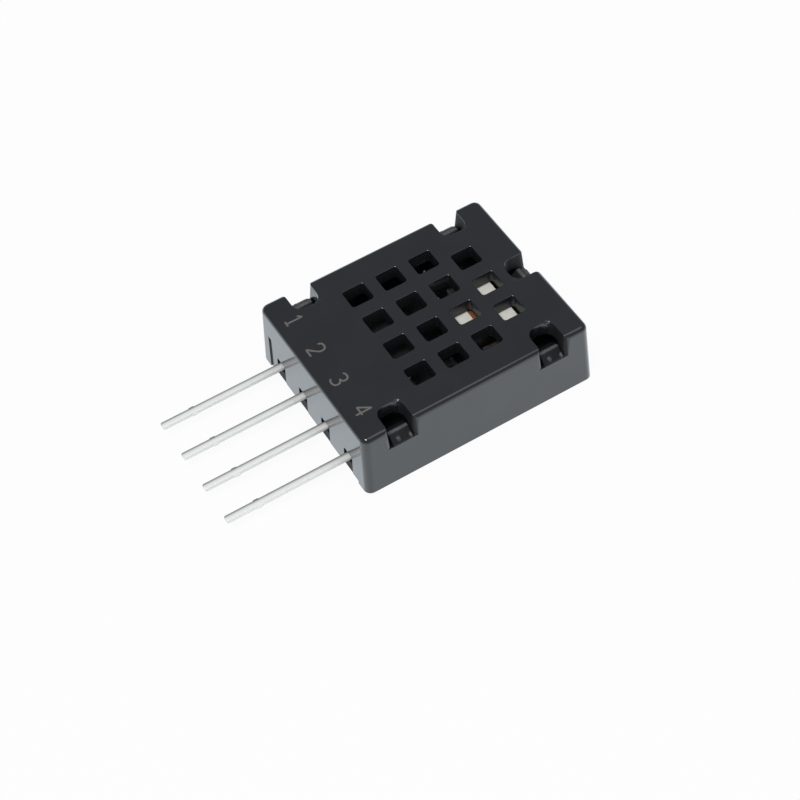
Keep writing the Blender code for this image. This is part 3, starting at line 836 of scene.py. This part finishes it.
def strokeShell(points, spec, height):
    # A line with round ends. Its width follows a half circle at both ends, and its section is a low arch.
    points = np.asarray(points, float)
    spans = np.linalg.norm(np.diff(points, axis=0), axis=1)
    along = np.concatenate([[0], np.cumsum(spans)])
    half = spec["stroke"] / 2
    capSteps, lineSteps, archSteps = spec["steps"]
    cap = half * (1 - np.cos(np.linspace(spec["firstStep"], math.pi / 2, capSteps)))
    line = np.linspace(half, along[-1] - half, lineSteps)
    stops = np.concatenate([cap, along[1:-1], line, along[-1] - cap])
    stops = np.unique(np.round(stops, 9))  # points closer than a nanometre are one
    near = np.minimum(stops, along[-1] - stops)
    share = np.sqrt(1 - np.clip(1 - near / half, 0, 1) ** 2)
    turn = np.linspace(0, math.pi, archSteps)
    arch = np.stack([half * np.cos(turn), spec["proud"] * np.sin(turn)], axis=1)
    outlines = arch[None] * np.stack([share, np.ones_like(share)], axis=1)[:, None]
    x, y = (np.interp(stops, along, points[:, i]) for i in (0, 1))
    path = np.column_stack([x, y, np.full(len(x), height)])
    ahead = np.gradient(path, axis=0)
    side = np.stack([-ahead[:, 1], ahead[:, 0], np.zeros(len(path))], axis=1)
    return sweep(path, side, outlines)


def makePinMarks(spec, pitch):
    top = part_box("front_cover")[1].z - spec["sunk"]
    scale = np.array([spec["width"], spec["height"]])
    shells = []
    for digit, strokes in spec["strokes"].items():
        middle = np.array([(digit - spec["middleDigit"]) * pitch, spec["middleY"]])
        for stroke in strokes:
            shells.append(strokeShell(middle + np.array(stroke) * scale, spec, top))
    addPiece("pin_marks", shells, grained("laser_mark", spec, IOR=1.5))


# The leads of the microcontroller, on both of its long sides

chipLeads = {
    "count": 5,
    "pitch": 0.55 * mm,
    "width": 0.22 * mm,
    "thickness": 0.09 * mm,
    "edge": 0.02 * mm,
    "reach": 0.5 * mm,
    "inside": 0.03 * mm,  # how far a lead starts within the chip
    "leavesAt": 0.36 * mm,  # above the board
    "footGap": 0.005 * mm,
    "bend": (0.25, 0.65),  # where the S starts and ends, in shares of the reach
    "steps": 22,
}


def roundedBox(width, height, edge, steps=3):
    # The outline of a rectangle, with a quarter circle at each corner.
    middle = np.array([(1, 1), (-1, 1), (-1, -1), (1, -1)]) * (width / 2 - edge, height / 2 - edge)
    turn = np.radians(90 * np.arange(4)[:, None] + np.linspace(0, 90, steps))
    return (middle[:, None] + edge * np.stack([np.cos(turn), np.sin(turn)], axis=-1)).reshape(-1, 2)


def makeChipLeads(spec):
    # A lead leaves the side level, comes down along a smooth S and ends in a level foot.
    low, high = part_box("microcontroller")
    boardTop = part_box("circuit_board")[1].z
    first, last = spec["bend"]
    share = np.linspace(0, 1, spec["steps"])
    bend = np.clip((share - first) / (last - first), 0, 1)
    drop = bend * bend * (3 - 2 * bend)
    foot = spec["thickness"] / 2 + spec["footGap"]
    height = boardTop + spec["leavesAt"] + (foot - spec["leavesAt"]) * drop
    outline = roundedBox(spec["width"], spec["thickness"], spec["edge"])
    outlines = np.broadcast_to(outline, (spec["steps"], *outline.shape))
    shells = []
    for side, start in ((1, high.x), (-1, low.x)):
        out = start + side * (share * spec["reach"] - spec["inside"])
        for number in range(spec["count"]):
            y = (low.y + high.y) / 2 + (number - (spec["count"] - 1) / 2) * spec["pitch"]
            path = np.column_stack([out, np.full(len(out), y), height])
            shells.append(sweep(path, (0, 1, 0), outlines))
    addPiece("chip_leads", shells, grained("lead_metal", solder, Metallic=1.0))


# Solder at the ends of the small parts

solderFillets = {
    "parts": numbered("capacitor", 4) + numbered("resistor", 4) + ["temperature_sensor"],
    "spread": 0.24 * mm,
    "climb": 0.7,  # share of the part's height
    "wide": 1.1,  # share of the part's width
    "lowerSides": 0.85,  # how much of the height goes towards the sides
    "shorterSides": 0.5,
    "overlap": 0.04 * mm,
    "lip": 0.004 * mm,  # above and below the board's surface
    "steps": (13, 9),  # across and outwards
}


def filletShell(end, out, across, half, climb, spec, boardTop):
    # From the end face outwards the height falls along a quarter circle, hollow side up, and towards
    # both sides it falls along a parabola.
    acrossSteps, outSteps = spec["steps"]
    u = np.linspace(-1, 1, acrossSteps)[:, None]
    v = np.linspace(0, 1, outSteps)[None]
    fall = 1 - np.sqrt(np.clip(1 - (1 - v) ** 2, 0, 1))
    height = climb * fall * (1 - u**2 * spec["lowerSides"]) + spec["lip"] * (1 - v)
    run = v * spec["spread"] * np.sqrt(1 - spec["shorterSides"] * u**2) - spec["overlap"] * (v == 0)
    flat = end + out * run[..., None] + across * (half * u * np.ones_like(v))[..., None]
    top = np.dstack([flat, boardTop + height])
    return closedPatch(top, boardTop - spec["lip"])


def makeFillets(spec):
    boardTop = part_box("circuit_board")[1].z
    shells = []
    for name in spec["parts"]:
        low, high = (np.array(corner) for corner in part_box(name))
        size, middle = high - low, (low + high) / 2
        axis = 0 if size[0] > size[1] else 1
        across = np.eye(2)[1 - axis]
        half = size[1 - axis] / 2 * spec["wide"]
        for sign in (1, -1):
            out = np.eye(2)[axis] * sign
            end = middle[:2] + out * size[axis] / 2
            shells.append(filletShell(end, out, across, half, size[2] * spec["climb"], spec, boardTop))
    addPiece("solder_fillets", shells, grained("solder_fillets", solder, Metallic=1.0))


# Bare solder dots on the board, on test points and on the holes between its layers

solderDots = {
    "height": 0.11 * mm,
    "radius": 0.17 * mm,
    "places": [  # x and y on the board in millimetres, and the share of the radius
        (-3.39, -0.87, 1.0), (-3.38, 1.36, 0.8), (-3.25, 0.21, 1.0), (-4.78, 2.91, 0.9),
        (-2.56, 2.48, 0.7), (-2.55, 3.16, 0.7), (-3.47, 2.6, 0.9), (3.3, -2.1, 0.9),
        (4.3, 0.9, 0.8), (1.2, -4.3, 0.8), (-1.4, -4.6, 0.9), (4.4, -3.4, 0.8),
    ],
}

domes = {
    "around": 20,
    "rings": 6,
    "sunk": 0.004 * mm,  # how far the rim reaches into what carries it
}


def domeShell(centre, up, radius, height, spec):
    # Over the surface that it sits on, the height falls from the middle to the rim as a parabola does.
    around = spec["around"]
    up = np.asarray(up, float) / np.linalg.norm(up)
    first = np.cross(up, (0, 1, 0))
    first /= np.linalg.norm(first)
    turns = np.linspace(0, 2 * math.pi, around, endpoint=False)
    circle = np.outer(np.cos(turns), first) + np.outer(np.sin(turns), np.cross(up, first))
    shares = np.sin(np.linspace(0, math.pi / 2, spec["rings"] + 1))[1:]
    rings = [centre + radius * s * circle + up * height * (1 - s * s) for s in shares]
    rings.append(centre + radius * circle - up * spec["sunk"])
    points = np.concatenate([*rings, [centre + up * height]])
    tip = len(points) - 1
    faces = quadRows(len(rings), around, wrap=True)
    faces += [[tip, (k + 1) % around, k] for k in range(around)]
    faces.append(list(range(tip - around, tip)))
    return points, faces


def makeDots(spec):
    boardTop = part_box("circuit_board")[1].z
    shells = []
    for x, y, share in spec["places"]:
        centre = np.array([x * mm, y * mm, boardTop])
        shells.append(domeShell(centre, (0, 0, 1), spec["radius"] * share, spec["height"] * share, domes))
    addPiece("solder_dots", shells, grained("dot_solder", solder, Metallic=1.0))


def makePips(spec, case, material):
    # One pip stands on each of the four side clips, and one on the clip of the far end.
    outwards, upwards = spec["slope"]
    places = [
        ((side * spec["out"], end * case["notchesAt"] + spec["along"]), (side * outwards, 0, upwards))
        for side in (-1, 1)
        for end in (-1, 1)
    ]
    farOut = spec["out"] + case["halfLength"] - case["halfWidth"]
    places.append(((spec["along"], farOut), (0, outwards, upwards)))
    shells = [
        domeShell(np.array([*place, spec["level"]]), up, spec["radius"], spec["height"], domes)
        for place, up in places
    ]
    addPiece("clip_pips", shells, material)


makePinMarks(pinMarks, pins["pitch"])
makeChipLeads(chipLeads)
makeFillets(solderFillets)
makeDots(solderDots)
makePips(clipPips, housing, backFinish)
